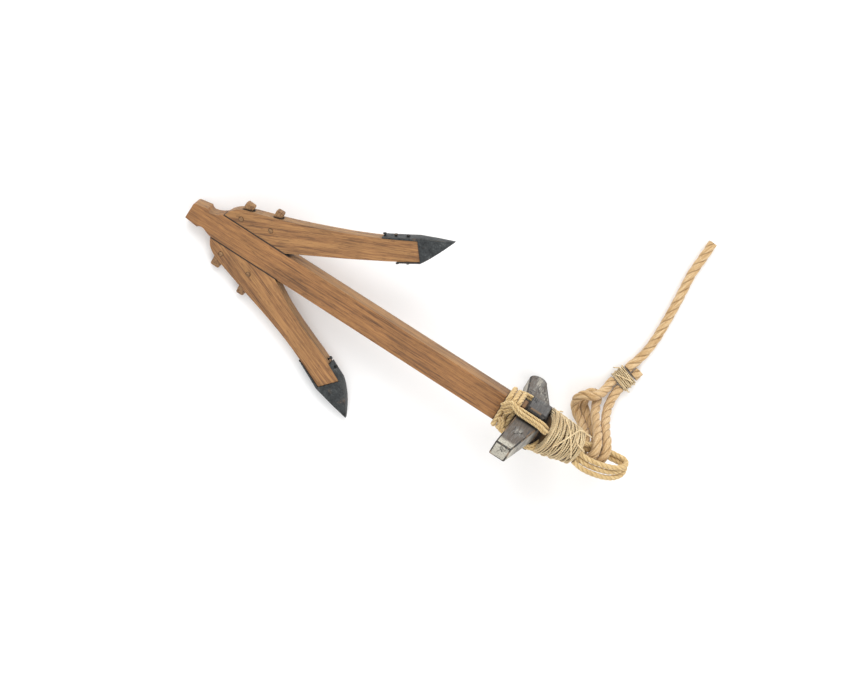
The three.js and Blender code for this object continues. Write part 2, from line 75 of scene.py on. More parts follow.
# ---- the anchor's own frame ----
@dataclass(frozen=True)
class AnchorFrame:
    """The anchor's own axes in the row frame: x along the shank, y across it, z square to its broad side."""

    origin: Vector
    along: Vector
    across: Vector
    square: Vector

    @classmethod
    def from_mounts(cls, record: dict) -> "AnchorFrame":
        """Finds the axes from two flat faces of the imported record.

        Args:
            record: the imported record, whose mounts name the crown's end and the stock's upper end.

        Returns:
            The frame, with its origin at the middle of the crown.
        """
        mounts = {m["name"]: m for m in record["mounts"]}
        crown = Vector(mounts["crown_end"]["pos_m"])
        end = Vector(mounts["stock_end_upper"]["pos_m"])
        square = Vector(mounts["stock_end_upper"]["axis"]).normalized()
        along = (end - crown - square * (end - crown).dot(square)).normalized()
        across = square.cross(along)
        origin = crown - along * CROWN_MOUNT_MM[0] * MM - across * CROWN_MOUNT_MM[1] * MM
        return cls(origin, along, across, square)

    def point(self, x: float, y: float, z: float) -> Vector:
        """Returns a point given in the anchor's millimetres as a point of the row frame."""
        return self.origin + (self.along * x + self.across * y + self.square * z) * MM

    def axes(self) -> Axes:
        """Returns the three axes."""
        return self.along, self.across, self.square

    def direction(self, x: float, y: float, z: float) -> Vector:
        """Returns a direction given in the anchor's axes in those of the row frame."""
        return (self.along * x + self.across * y + self.square * z).normalized()


ANCHOR = AnchorFrame.from_mounts(frame["record"])


# ---- camera and light ----
@dataclass(frozen=True)
class Studio:
    """The camera above the anchor, the pale floor and three square soft lights: place, side in metres, watts."""

    camera_at: Point = (-0.24519, 0.0129, 2.53578)
    towards_camera: Point = (-0.123312, 0.004245, 0.992359)
    image_up: Point = (-0.535763, 0.841447, -0.070174)
    lens_mm: float = 105.88
    floor_half: float = 6.0
    floor_drop: float = 0.0004
    lamps: tuple[tuple[str, Point, float, float], ...] = (
        ("key_light", (-1.3, 1.9, 2.6), 2.0, 48.0),
        ("fill_light", (1.8, -1.4, 2.2), 2.2, 20.0),
        ("rim_light", (0.6, 2.4, 1.2), 1.2, 10.0),
    )
    sky: float = 0.98

    def camera(self) -> None:
        """Makes the camera, looking down at the anchor."""
        data = bpy.data.cameras.new("camera")
        data.sensor_width, data.lens = 36.0, self.lens_mm
        data.clip_start, data.clip_end = 0.05, 50.0
        back, up = Vector(self.towards_camera), Vector(self.image_up)
        right = up.cross(back).normalized()
        up = back.cross(right)
        turn = Matrix((right, up, back)).transposed().to_4x4()
        camera = bpy.data.objects.new("camera", data)
        camera.matrix_world = Matrix.Translation(self.camera_at) @ turn
        bpy.context.scene.collection.objects.link(camera)
        bpy.context.scene.camera = camera

    def build(self) -> None:
        """Makes the camera, lights, sky and floor."""
        self.camera()
        for name, at, size, watts in self.lamps:
            data = bpy.data.lights.new(name, "AREA")
            data.shape, data.size, data.energy = "SQUARE", size, watts
            light = bpy.data.objects.new(name, data)
            light.location = at
            light.rotation_mode = "QUATERNION"
            light.rotation_quaternion = Vector(at).to_track_quat("Z", "Y")
            bpy.context.scene.collection.objects.link(light)
        world = bpy.data.worlds.new("studio")
        world.use_nodes = True
        sky = world.node_tree.nodes["Background"]
        sky.inputs["Color"].default_value = linear("#FFFFFF")
        sky.inputs["Strength"].default_value = self.sky
        bpy.context.scene.world = world
        bpy.context.scene.view_settings.view_transform = "Standard"
        mesh = bmesh.new()
        bmesh.ops.create_grid(mesh, x_segments=1, y_segments=1, size=self.floor_half)
        floor = new_object("studio_floor", mesh)
        floor.data.transform(Matrix.Translation((0.0, 0.0, -self.floor_drop)))
        floor.data.materials.append(PaperFloor().material())


# ---- small tools ----
def linear(hex_colour: str) -> tuple[float, float, float, float]:
    """Turns an sRGB hex colour into linear values.

    Args:
        hex_colour: such as "#A06F42".

    Returns:
        Red, green, blue and alpha.
    """
    values = [int(hex_colour[i : i + 2], 16) / 255 for i in (1, 3, 5)]
    out = [v / 12.92 if v <= 0.04045 else ((v + 0.055) / 1.055) ** 2.4 for v in values]
    return (out[0], out[1], out[2], 1.0)


def metres(points: tuple[Point, ...]) -> list[Vector]:
    """Returns points of the row frame, given in millimetres, as vectors in metres."""
    return [Vector(p) * MM for p in points]


def run_length(line: list[Vector]) -> float:
    """Returns the length of a line through points."""
    return sum((q - p).length for p, q in zip(line, line[1:]))


def new_object(name: str, mesh: Mesh, smooth: bool = False) -> Piece:
    """Turns a bmesh into a linked object and frees the bmesh.

    Args:
        name: the object's name.
        mesh: the finished bmesh.
        smooth: whether all its faces are shaded smooth.

    Returns:
        The object.
    """
    data = bpy.data.meshes.new(name)
    if smooth:
        for face in mesh.faces:
            face.smooth = True
    mesh.to_mesh(data)
    mesh.free()
    made = bpy.data.objects.new(name, data)
    bpy.context.scene.collection.objects.link(made)
    return made


def sleeve(rings: int, sides: int, length: float) -> tuple[Mesh, dict[bmesh.types.BMVert, tuple[int, int]]]:
    """Makes a grid that is ready to be bent into a tube, with its map.

    Args:
        rings: how many faces it has along the tube.
        sides: how many it has round the tube.
        length: the tube's length, in metres, for the map.

    Returns:
        The bmesh, and the ring and side of each of its points.
    """
    mesh = bmesh.new()
    made = bmesh.ops.create_grid(mesh, x_segments=rings, y_segments=sides, size=1.0)
    layer = mesh.loops.layers.uv.new("rope")
    places = {v: (round((v.co.x + 1) / 2 * rings), round((v.co.y + 1) / 2 * sides)) for v in made["verts"]}
    for face in mesh.faces:
        face.smooth = True
        for loop in face.loops:
            ring, side = places[loop.vert]
            loop[layer].uv = (length * ring / rings, side / sides)
    return mesh, places


def settle(piece: Piece, body: Body, slot: str, material: bpy.types.Material, *nodes: str) -> None:
    """Dresses a piece, rides it on its body and lets it stand for its CAD nodes.

    Args:
        piece: the finished object.
        body: the body that it moves with.
        slot: the record's material slot; not used.
        material: its finish.
        *nodes: the CAD nodes that it stands for.
    """
    piece.data.materials.clear()
    piece.data.materials.append(material)
    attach(piece, body.value)
    if nodes:
        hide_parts(*nodes)
    LOG.info("%s: %d faces, stands for %s", piece.name, len(piece.data.polygons), ", ".join(nodes) or "nothing")


# ---- finishes ----
Socket = bpy.types.NodeSocket
SUM, LESS, TIMES, SIZE = ({"operation": how} for how in ("ADD", "SUBTRACT", "MULTIPLY", "ABSOLUTE"))
DOT = {"operation": "DOT_PRODUCT"}
SMOOTH = {"interpolation_type": "SMOOTHSTEP"}
MIXED = {"data_type": "RGBA"}


class Surface:
    """A material in the making: its node tree, its shader and the steps that finishes share."""

    def __init__(self, name: str) -> None:
        """Starts a material of the given name."""
        self.made = bpy.data.materials.new(name)
        self.made.use_nodes = True
        self.tree = self.made.node_tree

    def fill(self, node: bpy.types.Node, *inputs: object, **named: object) -> None:
        """Links sockets to a node's inputs or sets their values.

        Args:
            node: the node.
            *inputs: what goes into the inputs in use, in order.
            **named: what goes into inputs by name, with underscores for spaces; None leaves one as it is.
        """
        pairs = list(zip([socket for socket in node.inputs if socket.enabled], inputs))
        pairs += [(node.inputs[key.replace("_", " ")], value) for key, value in named.items()]
        for socket, value in pairs:
            if isinstance(value, Socket):
                self.tree.links.new(value, socket)
            elif value is not None:
                socket.default_value = value

    def add(
        self, kind: str, *inputs: object, out: str = "", stops: dict[float, str] | None = None, **more: object
    ) -> Socket:
        """Adds a node with its settings and links.

        Args:
            kind: the node's type, less its "ShaderNode".
            *inputs: what goes into the inputs in use, in order.
            out: the name of the output that is wanted, or nothing for the first in use.
            stops: the sRGB colour at each place of a ramp.
            **more: inputs by name, which start with a capital, and attributes of the node, which don't.

        Returns:
            The output socket.
        """
        node = self.tree.nodes.new(f"ShaderNode{kind}")
        for key, value in more.items():
            if key[0].islower():
                setattr(node, key, value)
        if stops:
            elements, places = node.color_ramp.elements, sorted(stops)
            while len(elements) < len(places):
                elements.new(0.5)
            for element, place in zip(elements, places):
                element.position = place
            for element, place in zip(elements, places):
                element.color = linear(stops[place])
        self.fill(node, *inputs, **{key: value for key, value in more.items() if key[0].isupper()})
        return next(socket for socket in node.outputs if socket.enabled and out in ("", socket.name))

    def dress(self, **named: object) -> bpy.types.Material:
        """Fills the shader's own sockets and returns the finished material."""
        self.fill(self.tree.nodes["Principled BSDF"], **named)
        return self.made

    def rows(self, axes: Axes, steps_mm: Point) -> Socket:
        """Turns object coordinates to a piece's own axes and measures them in steps of its pattern.

        Args:
            axes: the three axes.
            steps_mm: the size of the pattern along each, in millimetres.

        Returns:
            The turned and scaled vector.
        """
        point, parts = self.add("TexCoord", out="Object"), []
        for axis, step in zip(axes, steps_mm):
            dot = self.add("VectorMath", point, tuple(axis), **DOT)
            parts.append(self.add("Math", dot, 1 / (step * MM), **TIMES))
        return self.add("CombineXYZ", *parts)

    def grain(self, size_mm: float, detail: float, rough: float = 0.55) -> Socket:
        """Returns an even noise with lumps of the given size in the piece's own place."""
        point = self.add("TexCoord", out="Object")
        return self.add("TexNoise", Vector=point, Scale=1 / (size_mm * MM), Detail=detail, Roughness=rough)

    def streaks(self, axes: Axes, steps_mm: Point, detail: float, rough: float = 0.55) -> Socket:
        """Returns a noise whose lumps have their own size, in millimetres, along each of a piece's axes."""
        return self.add("TexNoise", Vector=self.rows(axes, steps_mm), Scale=1.0, Detail=detail, Roughness=rough)

    def anchor_mm(self) -> list[Socket]:
        """Returns where a point lies in the anchor's own millimetres: along, across and square."""
        parts = self.add("SeparateXYZ", self.rows(ANCHOR.axes(), (1.0, 1.0, 1.0))).node.outputs
        return [
            self.add("Math", part, ANCHOR.origin.dot(axis) / MM, **LESS) for part, axis in zip(parts, ANCHOR.axes())
        ]

    def facing(self, axis: Vector, low: float, high: float) -> Socket:
        """Returns 1 where a face looks along an axis, either way, and 0 where it looks across it."""
        dot = self.add("VectorMath", self.add("TexCoord", out="Normal"), tuple(axis), **DOT)
        return self.add("MapRange", self.add("Math", dot, **SIZE), low, high, **SMOOTH)

    def weigh(self, one: Socket, other: Socket, share: float) -> Socket:
        """Returns two patterns laid together, the other with the given share."""
        first = self.add("Math", one, 1 - share, **TIMES)
        return self.add("Math", first, self.add("Math", other, share, **TIMES), **SUM)

    def coat(self, colour: Socket, where: Socket, share: float, over: Socket | str) -> Socket:
        """Returns a colour with another laid over it: where it lies, how much it hides there, and its colour."""
        cover = self.add("Math", where, share, **TIMES)
        return self.add("Mix", cover, colour, linear(over) if isinstance(over, str) else over, **MIXED)

    def crevice_shade(self, reach_mm: float) -> Socket:
        """Returns the painted shade of joints and corners, from how little sky light reaches a point: 0 in the open,
        towards 1 in a narrow seam.
        """
        light = self.add("AmbientOcclusion", Distance=reach_mm * MM, out="AO", samples=8, only_local=False)
        return self.add("MapRange", light, OPEN_LIGHT, SEAM_LIGHT, **SMOOTH)


OPEN_LIGHT, SEAM_LIGHT = 0.93, 0.58  # the share of the sky that reaches an open face and a narrow seam
CORNERS = {"attribute_name": "edge", "out": "Fac"}  # 1 on a piece's eased corners, 0 on its faces


@dataclass(frozen=True)
class PaperFloor:
    """White paper sweep: matt and even, so that only the anchor's soft shadow shows on it."""

    name: str = "white_paper_sweep"
    white: str = "#F7F7F7"
    roughness: float = 0.9

    def material(self) -> bpy.types.Material:
        """Makes the floor's material."""
        return Surface(self.name).dress(
            Base_Color=linear(self.white), Roughness=self.roughness, Specular_IOR_Level=0.1
        )


@dataclass(frozen=True)
class OiledHardwood:
    """Old oiled hardwood, planed by hand: long dark streaks, fine open pores and a dull, rubbed sheen.

    The faces that look across the shank are painted lighter and greyer, a painted highlight, and the broad faces are
    warm brown.
    """

    name: str
    along: Vector
    across: Vector
    square: Vector
    dark: str = "#5F3F25"
    mid: str = "#92643A"
    light: str = "#AD7B48"
    # colours and share of the painted highlight on the faces that look across the shank
    side_highlight: str = "#A98A60"
    side_highlight_dark: str = "#6F5C48"
    worn: str = "#9A9A94"
    # colour of the dark joint line and of the painted shade in joints and corners
    dark_line_and_shade: str = "#17110C"
    side_highlight_share: float = 0.4
    band_mm: Point = (95.0, 2.6, 2.6)
    fibre_mm: Point = (24.0, 0.9, 0.9)
    pore_mm: Point = (9.0, 0.7, 0.7)
    blotch_mm: Point = (34.0, 16.0, 16.0)
    pore_depth_mm: float = 0.3
    shade_reach_mm: float = 3.0
    joint_half_mm: float = 14.6
    joint_from_mm: float = 34.0
    joint_to_mm: float = 110.0
    arm_under_mm: float = -4.0
    joint_share: float = 0.9
    roughness: float = 0.56

    def joint_line(self, made: Surface) -> Socket:
        """Returns where a dark line is painted along the joints between the shank and the arms' roots."""
        add = made.add
        x, y, z = made.anchor_mm()
        away = add("Math", add("Math", y, **SIZE), self.joint_half_mm, **LESS)
        line = add("MapRange", add("Math", away, **SIZE), 1.1, 0.5, **SMOOTH)
        for value, none, full in (
            (x, self.joint_from_mm - 3.0, self.joint_from_mm),
            (x, self.joint_to_mm + 4.0, self.joint_to_mm),
            (z, self.arm_under_mm - 0.6, self.arm_under_mm),
        ):
            line = add("Math", line, add("MapRange", value, none, full, **SMOOTH), **TIMES)
        return line

    def material(self) -> bpy.types.Material:
        """Makes the wood's material."""
        made = Surface(self.name)
        add, axes = made.add, (self.along, self.across, self.square)
        fibres = made.streaks(axes, self.fibre_mm, 5.0, 0.62)
        tone = made.weigh(made.streaks(axes, self.band_mm, 3.0), fibres, 0.58)
        colour = add("ValToRGB", tone, stops={0.37: self.dark, 0.47: self.mid, 0.59: self.light, 0.70: self.mid})
        pores = add("MapRange", made.streaks(axes, self.pore_mm, 2.0), 0.60, 0.68, **SMOOTH)
        colour = made.coat(colour, pores, 0.55, self.dark)
        # painted highlight: the faces that look across the shank are made lighter and greyer than the broad faces
        toned = add("MapRange", tone, 0.35, 0.62, **SMOOTH)
        side_highlight_colour = add("Mix", toned, linear(self.side_highlight_dark), linear(self.side_highlight), **MIXED)
        colour = made.coat(colour, made.facing(self.across, 0.75, 0.95), self.side_highlight_share, side_highlight_colour)
        blotch = add("MapRange", made.streaks(axes, self.blotch_mm, 4.0), 0.25, 0.75, **SMOOTH)
        shade = add("ValToRGB", blotch, stops={0.0: self.worn, 1.0: "#FFFFFF"})
        colour = add("Mix", 0.35, colour, shade, blend_type="MULTIPLY", **MIXED)
        # painted shade: darkens joints and corners where little sky light reaches
        colour = made.coat(colour, made.crevice_shade(self.shade_reach_mm), 0.95, self.dark_line_and_shade)
        colour = made.coat(colour, self.joint_line(made), self.joint_share, self.dark_line_and_shade)
        rough = add("MapRange", fibres, 0.2, 0.8, **SMOOTH)
        rough = add("MapRange", rough, 0.0, 1.0, self.roughness - 0.08, self.roughness + 0.14)
        hollow = add("Math", fibres, add("Math", pores, 0.6, **TIMES), **LESS)
        normal = add("Bump", Height=hollow, Strength=1.0, Distance=self.pore_depth_mm * MM)
        return made.dress(Base_Color=colour, Roughness=rough, Normal=normal)


@dataclass(frozen=True)
class ForgedIron:
    """Hand-forged iron: charcoal scale with hammer dimples, brown where rust has been rubbed back."""

    name: str
    scale_dark: str = "#242627"
    scale_light: str = "#484B4C"
    rust: str = "#6A5038"
    rust_from: float = 0.60
    rubbed: str = "#7C6448"
    bright: str = "#858683"
    # colour of the painted shade in joints and corners
    shade_in_crevices: str = "#141211"
    dimple_mm: float = 7.0
    dimple_depth_mm: float = 0.9
    grit_mm: float = 1.6
    grit_depth_mm: float = 0.18
    patch_mm: float = 16.0
    shade_reach_mm: float = 1.5
    metal: float = 0.62
    roughness: float = 0.52

    def material(self) -> bpy.types.Material:
        """Makes the iron's material."""
        made = Surface(self.name)
        add = made.add
        dimples, grit = made.grain(self.dimple_mm, 2.0), made.grain(self.grit_mm, 4.0, 0.6)
        patches = made.grain(self.patch_mm, 5.0, 0.62)
        tone = made.weigh(grit, dimples, 0.45)
        colour = add("ValToRGB", tone, stops={0.34: self.scale_dark, 0.60: self.scale_light, 0.74: self.bright})
        rust = add("MapRange", patches, self.rust_from, self.rust_from + 0.12, **SMOOTH)
        brown = add("ValToRGB", grit, stops={0.3: "#4A3323", 0.6: self.rust, 0.8: "#A27A52"})
        colour = made.coat(colour, rust, 0.6, brown)
        rubbed = add("Math", add("Attribute", **CORNERS), add("MapRange", patches, 0.42, 0.52, **SMOOTH), **TIMES)
        colour = made.coat(colour, rubbed, 0.75, self.rubbed)
        # painted shade: darkens joints and corners where little sky light reaches
        colour = made.coat(colour, made.crevice_shade(self.shade_reach_mm), 1.0, self.shade_in_crevices)
        metal = add("Math", self.metal, add("Math", rust, 0.6, **TIMES), **LESS)
        rough = add("MapRange", grit, 0.0, 1.0, self.roughness - 0.12, self.roughness + 0.2)
        normal = add("Bump", Height=dimples, Strength=1.0, Distance=self.dimple_depth_mm * MM)
        normal = add("Bump", Height=grit, Strength=1.0, Distance=self.grit_depth_mm * MM, Normal=normal)
        return made.dress(Base_Color=colour, Metallic=metal, Roughness=rough, Normal=normal)


@dataclass(frozen=True)
class CastLead:
    """Cast lead, scraped by hand: slate grey, browner on the broad side and chalky where oxide has grown.

    Creases of the pouring show as thin dark lines, and the corners are rubbed brown.
    """

    name: str
    slate: str = "#424548"
    grey: str = "#6B6864"
    brown: str = "#5F544A"
    pale: str = "#A29C90"
    chalk: str = "#C9C4B5"
    # colour of the crease and corner lines, and of the painted shade in joints and corners
    dark_line_and_shade: str = "#1F1C1A"
    edge: str = "#7E6448"
    scratch_mm: Point = (1.3, 1.3, 16.0)
    cloud_mm: Point = (14.0, 14.0, 26.0)
    grit_mm: Point = (1.8, 1.8, 1.8)
    crease_mm: Point = (22.0, 22.0, 34.0)
    box_half_mm: float = 27.0
    oxide_from_mm: float = 71.0
    shade_reach_mm: float = 5.0
    metal: float = 0.2
    roughness: float = 0.6

    def material(self) -> bpy.types.Material:
        """Makes the lead's material."""
        made = Surface(self.name)
        add, axes = made.add, ANCHOR.axes()
        scratches = made.streaks(axes, self.scratch_mm, 4.0, 0.65)
        cloud, grit = made.streaks(axes, self.cloud_mm, 4.0), made.streaks(axes, self.grit_mm, 4.0, 0.62)
        tone = made.weigh(scratches, cloud, 0.5)
        broad = add("ValToRGB", tone, stops={0.36: self.slate, 0.46: self.brown, 0.55: self.grey, 0.64: self.pale})
        narrow = add("ValToRGB", tone, stops={0.34: self.grey, 0.48: "#8E8A82", 0.60: "#B0AA9D"})
        colour = add("Mix", made.facing(ANCHOR.along, 0.5, 0.8), broad, narrow, **MIXED)
        height = made.anchor_mm()[2]
        middle = add("MapRange", add("Math", height, **SIZE), self.box_half_mm + 6.0, self.box_half_mm, **SMOOTH)
        colour = made.coat(colour, middle, 0.55, self.slate)
        ragged = add("Math", height, add("Math", cloud, 16.0, **TIMES), **SUM)
        oxide = add("MapRange", ragged, self.oxide_from_mm + 6.0, self.oxide_from_mm + 14.0, **SMOOTH)
        oxide = add("Math", oxide, add("MapRange", grit, 0.2, 0.6, **SMOOTH), **TIMES)
        colour = made.coat(colour, oxide, 0.85, self.chalk)
        bent = add("Math", made.streaks(axes, self.crease_mm, 3.0), 0.5, **LESS)
        crease = add("MapRange", add("Math", bent, **SIZE), 0.012, 0.003, **SMOOTH)
        crease = add("Math", crease, add("MapRange", cloud, 0.42, 0.56, **SMOOTH), **TIMES)
        colour = made.coat(colour, crease, 0.85, self.dark_line_and_shade)
        for low, high, share, tint in ((0.38, 0.46, 0.9, self.dark_line_and_shade), (0.48, 0.40, 0.7, self.edge)):
            patch = add("MapRange", cloud, low, high, **SMOOTH)
            colour = made.coat(colour, add("Math", add("Attribute", **CORNERS), patch, **TIMES), share, tint)
        # painted shade: darkens joints and corners where little sky light reaches
        colour = made.coat(colour, made.crevice_shade(self.shade_reach_mm), 1.0, self.dark_line_and_shade)
        rough = add("MapRange", grit, 0.0, 1.0, self.roughness - 0.12, self.roughness + 0.15)
        lumps = add("Math", cloud, add("Math", crease, 0.5, **TIMES), **LESS)
        normal = add("Bump", Height=lumps, Strength=1.0, Distance=1.6 * MM)
        normal = add("Bump", Height=scratches, Strength=1.0, Distance=0.3 * MM, Normal=normal)
        return made.dress(Base_Color=colour, Metallic=self.metal, Roughness=rough, Normal=normal)


@dataclass(frozen=True)
class LaidHemp:
    """Laid hemp: dry, fibrous strands with yarns along the rope, shaded where one strand lies on the next.

    The map's u is metres along the rope, and its v is turns round it, counted with the strands.
    """

    name: str
    strands: int
    lay_mm: float
    light: str
    mid: str
    dark: str
    hollow: str
    yarn_mm: float = 1.2
    diameter_mm: float = 10.0
    fibre_depth_mm: float = 0.6
    yarn_run_mm: float = 14.0
    fuzz_mm: float = 1.1
    soil_mm: float = 24.0
    roughness: float = 0.88

    def material(self) -> bpy.types.Material:
        """Makes the rope's material."""
        made = Surface(self.name)
        add = made.add
        run, turns = add("SeparateXYZ", add("UVMap", uv_map="rope")).node.outputs[:2]
        across = add("Math", turns, add("Math", run, 0.6 / (self.lay_mm * MM), **TIMES), **SUM)
        across = add("Math", across, math.pi * self.diameter_mm / self.yarn_mm, **TIMES)
        along = add("Math", run, 1 / (self.yarn_run_mm * MM), **TIMES)
        counted = add("Math", turns, self.strands, **TIMES)
        strand = add("Math", add("Math", counted, operation="FLOOR"), 7.3, **TIMES)
        yarns = add(
            "TexNoise", Vector=add("CombineXYZ", along, across, strand), Scale=1.0, Detail=4.0, Roughness=0.6
        )
        fuzz = made.grain(self.fuzz_mm, 3.0, 0.6)
        tone = made.weigh(yarns, fuzz, 0.35)
        colour = add("ValToRGB", tone, stops={0.36: self.dark, 0.50: self.mid, 0.62: self.light})
        middle = add("Math", add("Math", counted, operation="FRACT"), 0.5, **LESS)
        groove = add("MapRange", add("Math", middle, **SIZE), 0.36, 0.5, **SMOOTH)
        colour = made.coat(colour, groove, 0.6, self.hollow)
        soiled = add("MapRange", made.grain(self.soil_mm, 3.0), 0.5, 0.72, **SMOOTH)
        colour = made.coat(colour, soiled, 0.35, self.dark)
        normal = add("Bump", Height=yarns, Strength=1.0, Distance=self.fibre_depth_mm * MM)
        normal = add("Bump", Height=fuzz, Strength=1.0, Distance=self.fibre_depth_mm * 0.5 * MM, Normal=normal)
        return made.dress(
            Base_Color=colour, Roughness=self.roughness, Specular_IOR_Level=0.2, Sheen_Weight=0.25,
            Sheen_Roughness=0.5, Normal=normal,
        )


STRAW = {"light": "#E8D2A0", "mid": "#D7B985", "dark": "#B5935F"}
CABLE_HEMP = LaidHemp("golden_laid_hemp", 3, 34.0, "#DDC49C", "#C8A77A", "#A68256", "#80603C")
STROP_HEMP = LaidHemp(
    "straw_laid_hemp", 3, 17.0, **STRAW, hollow="#876741", yarn_mm=0.8, diameter_mm=5.6, fibre_depth_mm=0.45
)
LEG_HEMP = LaidHemp(
    "fine_straw_laid_hemp", 3, 12.0, **STRAW, hollow="#8A6A44", yarn_mm=0.6, diameter_mm=3.5, fibre_depth_mm=0.35
)
SEIZING_TWINE = LaidHemp(
    "pale_hemp_twine", 2, 6.0, "#FBEBC6", "#E9D0A2", "#BF9E6E", "#80643F",
    yarn_mm=0.5, diameter_mm=2.3, fibre_depth_mm=0.3,
)
# hemp much darker than the cords it stands for: painted shade that shows between a seizing's turns
CORE_IN_PAINTED_SHADE = LaidHemp(
    "core_hemp_painted_shade", 2, 6.0, "#7A5F3C", "#5A4429", "#3B2C1B", "#2A1F15",
    yarn_mm=0.8, diameter_mm=20.0, fibre_depth_mm=0.2,
)


# ---- ropes ----
@dataclass
class LaidRope:
    """A rope of twisted strands, made by bending a grid round its route.

    Attributes:
        name: the piece's name.
        route: the points that it follows, in metres.
        diameter: its thickness over the strands, in metres.
        finish: its finish, which gives its strands and their lay.
        step: the distance between rings, in metres.
        per_strand: how many faces go round one strand.
        closed: whether its end joins its start.
        first_normal: a direction square to its start, or None for any.
        end_swell: how much wider it is at its very end, as a share.
        depth: how far the grooves go in, as a share of its radius.
    """

    name: str
    route: list[Vector]
    diameter: float
    finish: LaidHemp
    step: float = 0.0014
    per_strand: int = 9
    closed: bool = False
    first_normal: Vector | None = None
    end_swell: float = 0.0
    depth: float = 0.26
    line: list[Vector] = field(default_factory=list)

    def smooth_line(self) -> list[Vector]:
        """Returns evenly spaced points on a smooth curve through the route."""
        points = [p.copy() for p in self.route]
        count = len(points)
        ring = points if not self.closed else [points[-1], *points, points[0], points[1]]
        offset = 1 if self.closed else 0
        fine: list[Vector] = []
        for i in range(count if self.closed else count - 1):
            a, b = ring[i + offset], ring[i + 1 + offset]
            before = ring[i - 1 + offset] if i + offset > 0 else a - (b - a)
            after = ring[i + 2 + offset] if i + 2 + offset < len(ring) else b + (b - a)
            span = (b - a).length
            start = (b - before) / (span + (a - before).length)
            end = (after - a) / (span + (after - b).length)
            for k in range(CURVE_STEPS):
                t = k / CURVE_STEPS
                fine.append(
                    a * (2 * t**3 - 3 * t**2 + 1)
                    + start * span * (t**3 - 2 * t**2 + t)
                    + b * (3 * t**2 - 2 * t**3)
                    + end * span * (t**3 - t**2)
                )
        fine.append(points[0].copy() if self.closed else points[-1].copy())
        total = run_length(fine)
        rings = max(4, round(total / self.step))
        even, gone, k = [fine[0]], 0.0, 0
        for i in range(1, rings):
            want = total * i / rings
            while k < len(fine) - 2 and gone + (fine[k + 1] - fine[k]).length < want:
                gone += (fine[k + 1] - fine[k]).length
                k += 1
            piece = fine[k + 1] - fine[k]
            even.append(fine[k] + piece * ((want - gone) / max(piece.length, 1e-9)))
        even.append(fine[-1])
        return even

    def strand_reach(self, turn: float) -> float:
        """Returns how far out the strands reach at a turn, counted with the strands, as a share of the radius."""
        phase = abs((turn * self.finish.strands) % 1.0 - 0.5) * 2
        return 1.0 - self.depth * (1.0 - math.sqrt(max(0.0, 1.0 - phase**2.4)))

    def build(self) -> Piece:
        """Makes the rope.

        Returns:
            The rope's object, with its place in its mesh.
        """
        self.line = self.smooth_line()
        rings, sides = len(self.line) - 1, self.finish.strands * self.per_strand
        length = run_length(self.line)
        turns = length / (self.finish.lay_mm * MM)
        if self.closed:
            turns = max(1, round(turns * self.finish.strands)) / self.finish.strands
        mesh, places = sleeve(rings, sides, length)
        frames = self.frames()
        for vert, (ring, side) in places.items():
            normal, other = frames[ring]
            share = ring / rings
            angle = 2 * math.pi * (side / sides + turns * share)
            swell = 1.0 + self.end_swell * max(0.0, 1.0 - (1.0 - share) * length / SWELL_RUN)
            reach = self.diameter / 2 * self.strand_reach(side / sides) * swell
            vert.co = self.line[ring] + (normal * math.cos(angle) + other * math.sin(angle)) * reach
        bmesh.ops.remove_doubles(mesh, verts=mesh.verts, dist=1e-7)
        if not self.closed:
            rims = [edge for edge in mesh.edges if edge.is_boundary]
            caps = bmesh.ops.holes_fill(mesh, edges=rims, sides=0)["faces"]
            bmesh.ops.inset_region(mesh, faces=caps, thickness=self.diameter * 0.12, depth=self.diameter * 0.05)
        bmesh.ops.recalc_face_normals(mesh, faces=mesh.faces)
        return new_object(self.name, mesh)

    def frames(self) -> list[tuple[Vector, Vector]]:
        """Returns two directions square to the rope at each ring, carried along without twist."""
        line = self.line
        tangents = []
        for i in range(len(line)):
            before = line[i - 1] if i > 0 else (line[-2] if self.closed else line[0])
            after = line[i + 1] if i + 1 < len(line) else (line[1] if self.closed else line[-1])
            tangents.append((after - before).normalized())
        normal = self.first_normal or ANY_NORMAL
        out = []
        for tangent in tangents:
            normal = (normal - tangent * normal.dot(tangent)).normalized()
            out.append((normal, tangent.cross(normal)))
        return out


# ---- timber, iron and lead ----
FLAT_DEGREES = 1.0  # faces that meet within this are one flat face
SMOOTH_DEGREES = 38.0  # faces that meet within this are shaded as one


def eased_copy(node: str, name: str, edge_mm: float, sharper_than: float = 24.0) -> Piece:
    """Copies a CAD node, clears its flat faces of spare edges, rounds its corners and marks them "edge".

    Args:
        node: the CAD node.
        name: the new piece's name.
        edge_mm: the radius of the rounding.
        sharper_than: the angle in degrees from which an edge is rounded.

    Returns:
        The new object.
    """
    mesh = bmesh.new()
    mesh.from_mesh(frame["nodes"][node].data)
    bmesh.ops.remove_doubles(mesh, verts=mesh.verts, dist=2e-6)
    bmesh.ops.dissolve_limit(mesh, angle_limit=math.radians(FLAT_DEGREES), verts=mesh.verts, edges=mesh.edges)
    limit = math.radians(sharper_than)
    corners = [e for e in mesh.edges if len(e.link_faces) == 2 and e.calc_face_angle(0.0) > limit]
    worn = mesh.faces.layers.float.new("edge")
    eased = bmesh.ops.bevel(
        mesh, geom=corners, offset=edge_mm * MM, offset_type="OFFSET", affect="EDGES", segments=2, profile=0.5,
        clamp_overlap=True, material=-1,
    )
    for face in eased["faces"]:
        face[worn] = 1.0
    bmesh.ops.triangulate(mesh, faces=[f for f in mesh.faces if len(f.verts) > 4])
    piece = new_object(name, mesh, smooth=True)
    piece.data.set_sharp_from_angle(angle=math.radians(SMOOTH_DEGREES))
    return piece


